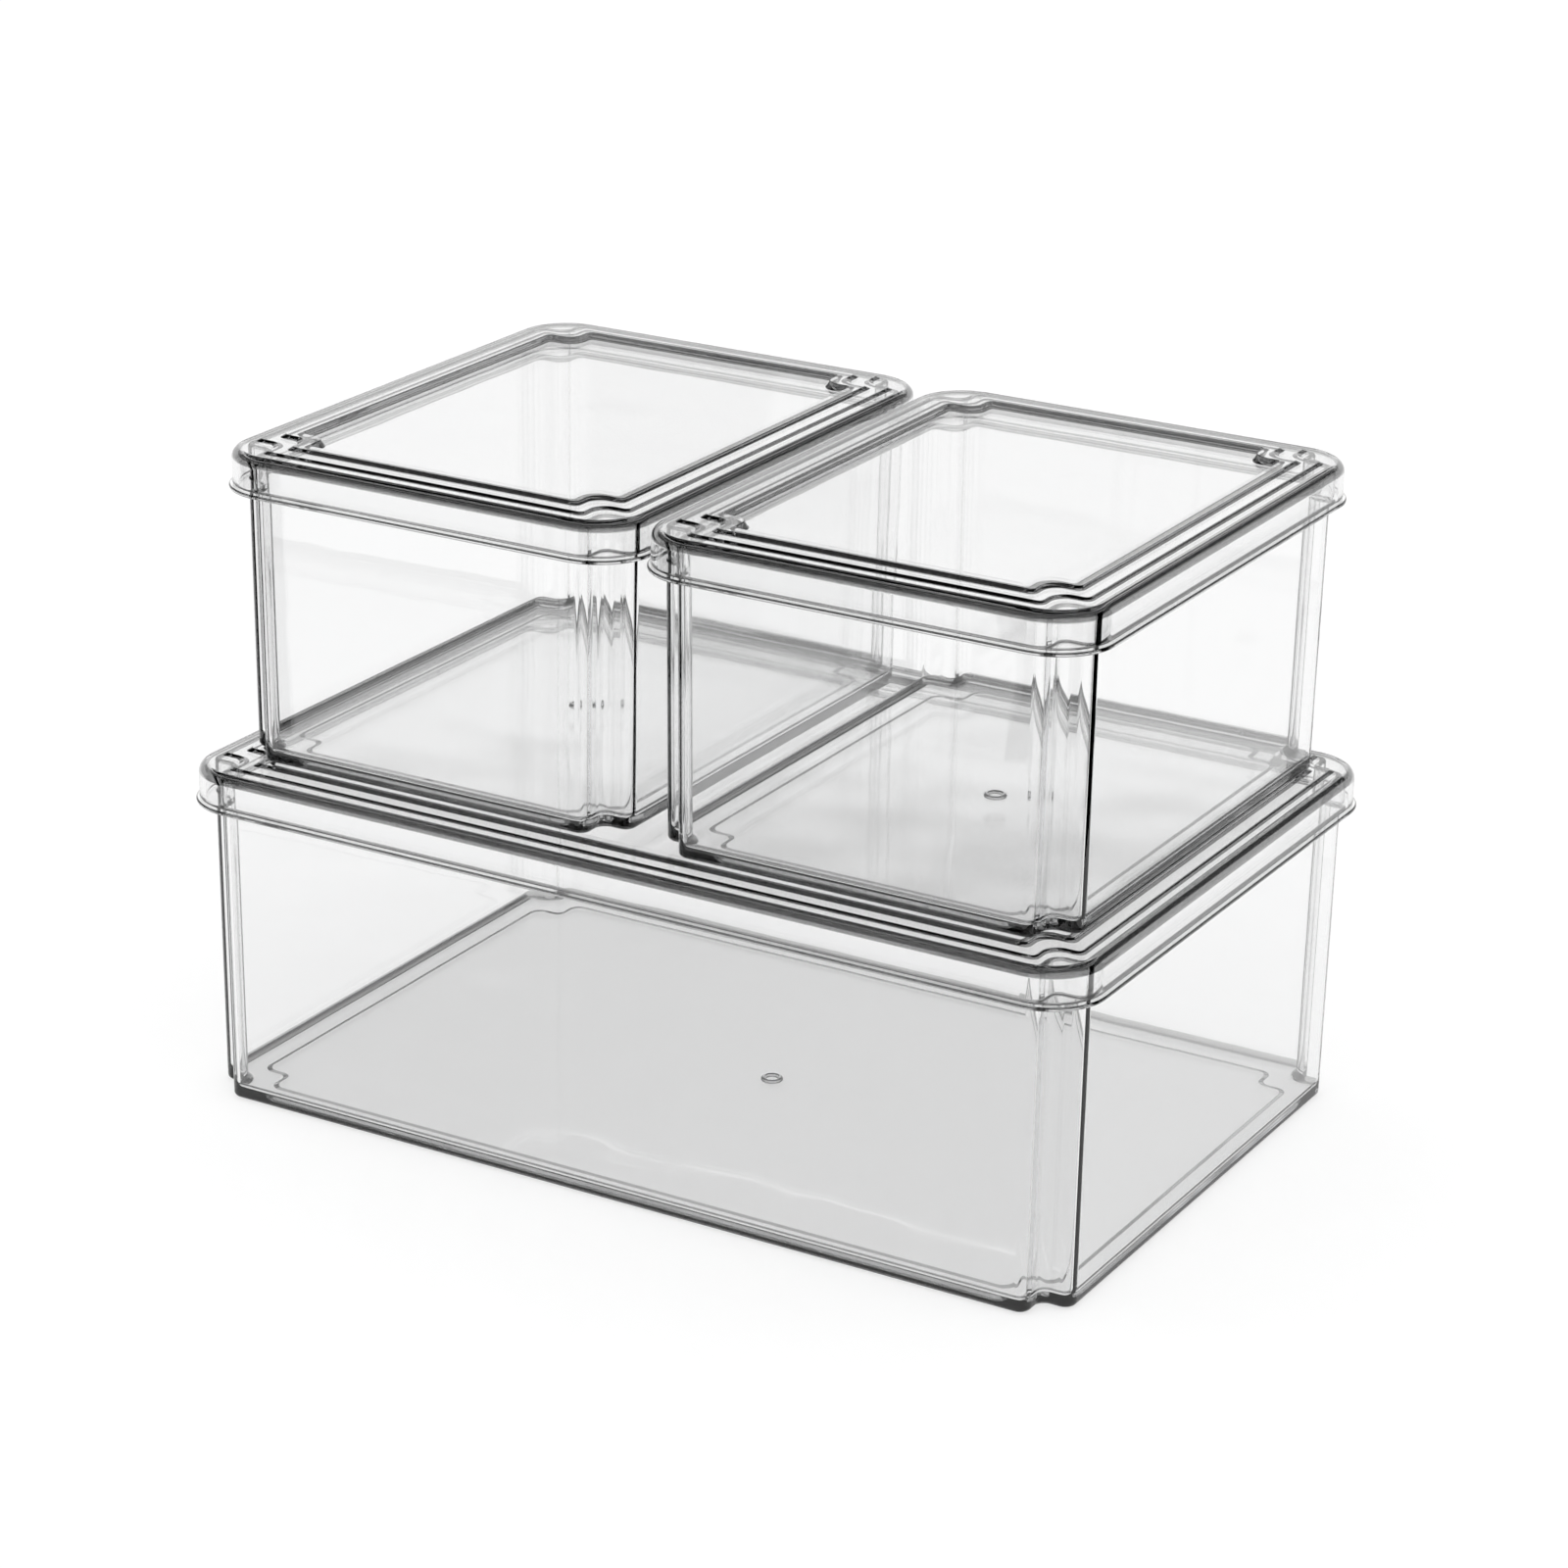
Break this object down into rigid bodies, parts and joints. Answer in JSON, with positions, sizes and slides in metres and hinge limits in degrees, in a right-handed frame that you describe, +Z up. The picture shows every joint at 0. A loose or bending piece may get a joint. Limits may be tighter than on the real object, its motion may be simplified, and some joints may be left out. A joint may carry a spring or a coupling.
{
  "type": "stackable fridge bin set",
  "caption": "Clear stackable fridge bins with lift-off ridged lids: a wide bin carrying narrower bins side by side on its lid, all with stepped corners.",
  "frame": {"origin": "centre of the large bin's base, on the surface it stands on, which is the bottom centre of the whole set's box", "axes": "+X along the width to the right, +Y along the depth to the back (the front faces -Y), +Z up"},
  "size_m": [0.3, 0.2, 0.2033],
  "materials": {
    "bin_plastic": "crystal-clear moulded plastic, polished",
    "lid_plastic": "crystal-clear moulded plastic, polished"
  },
  "bodies": {
    "large_bin": {"large_bin": "bin_plastic"},
    "large_lid": {"large_lid": "lid_plastic"},
    "small_bin_left": {"small_bin_left": "bin_plastic"},
    "small_lid_left": {"small_lid_left": "lid_plastic"},
    "small_bin_right": {"small_bin_right": "bin_plastic"},
    "small_lid_right": {"small_lid_right": "lid_plastic"}
  },
  "joints": [
    {"name": "large_lid_lift", "type": "slide", "parent": "large_bin", "child": "large_lid", "axis": [0, 0, 1], "range_m": [0, 0.035]},
    {"name": "small_bin_left_lift", "type": "slide", "parent": "large_lid", "child": "small_bin_left", "axis": [0, 0, 1], "range_m": [0, 0.03]},
    {"name": "small_lid_left_lift", "type": "slide", "parent": "small_bin_left", "child": "small_lid_left", "axis": [0, 0, 1], "range_m": [0, 0.03]},
    {"name": "small_bin_right_lift", "type": "slide", "parent": "large_lid", "child": "small_bin_right", "axis": [0, 0, 1], "range_m": [0, 0.03]},
    {"name": "small_lid_right_lift", "type": "slide", "parent": "small_bin_right", "child": "small_lid_right", "axis": [0, 0, 1], "range_m": [0, 0.03]}
  ]
}
